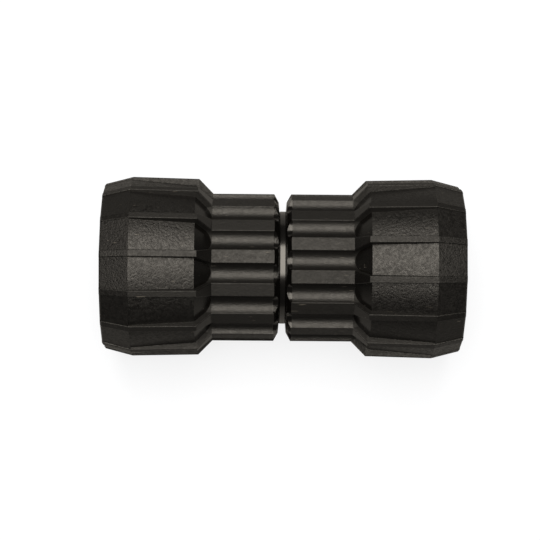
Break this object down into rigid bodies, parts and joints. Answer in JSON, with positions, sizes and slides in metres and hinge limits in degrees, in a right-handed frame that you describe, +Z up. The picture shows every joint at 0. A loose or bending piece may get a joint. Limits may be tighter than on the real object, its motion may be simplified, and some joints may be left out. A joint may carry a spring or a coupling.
{
  "type": "straight pipe coupling",
  "caption": "Straight compression coupling for plastic water pipe: a barrel with a fluted and ribbed black screw nut on either end.",
  "frame": {"origin": "middle of the coupling, on the pipe's axis", "axes": "+X along the pipe's axis towards the right nut, +Z up from the surface that the coupling lies on"},
  "size_m": [0.1152, 0.0582, 0.0582],
  "materials": {
    "body_plastic": "gloss moulded",
    "seal_rubber": "matte",
    "bush_plastic": "satin moulded",
    "grip_plastic": "satin moulded",
    "nut_plastic": "satin, with grained pockets between the ribs"
  },
  "bodies": {
    "barrel": {"coupling_body": "body_plastic", "left_seal_ring": "seal_rubber", "right_seal_ring": "seal_rubber", "left_press_bush": "bush_plastic", "right_press_bush": "bush_plastic"},
    "left_grip": {"left_grip_ring": "grip_plastic"},
    "left_cap": {"left_nut": "nut_plastic"},
    "right_grip": {"right_grip_ring": "grip_plastic"},
    "right_cap": {"right_nut": "nut_plastic"}
  },
  "joints": [
    {"name": "left_grip_slide", "type": "slide", "parent": "barrel", "child": "left_grip", "axis": [-1, 0, 0], "range_m": [0, 0.026]},
    {"name": "left_nut_turn", "type": "hinge", "parent": "left_grip", "child": "left_cap", "pos_m": [-0.042, 0, 0], "axis": [-1, 0, 0], "range_deg": [0, 2340]},
    {"name": "right_grip_slide", "type": "slide", "parent": "barrel", "child": "right_grip", "axis": [1, 0, 0], "range_m": [0, 0.026]},
    {"name": "right_nut_turn", "type": "hinge", "parent": "right_grip", "child": "right_cap", "pos_m": [0.042, 0, 0], "axis": [1, 0, 0], "range_deg": [0, 2340]}
  ],
  "couplings": [
    {"joint": "left_grip_slide", "follows": "left_nut_turn", "m_per_rad": 0.00063662},
    {"joint": "right_grip_slide", "follows": "right_nut_turn", "m_per_rad": 0.00063662}
  ]
}
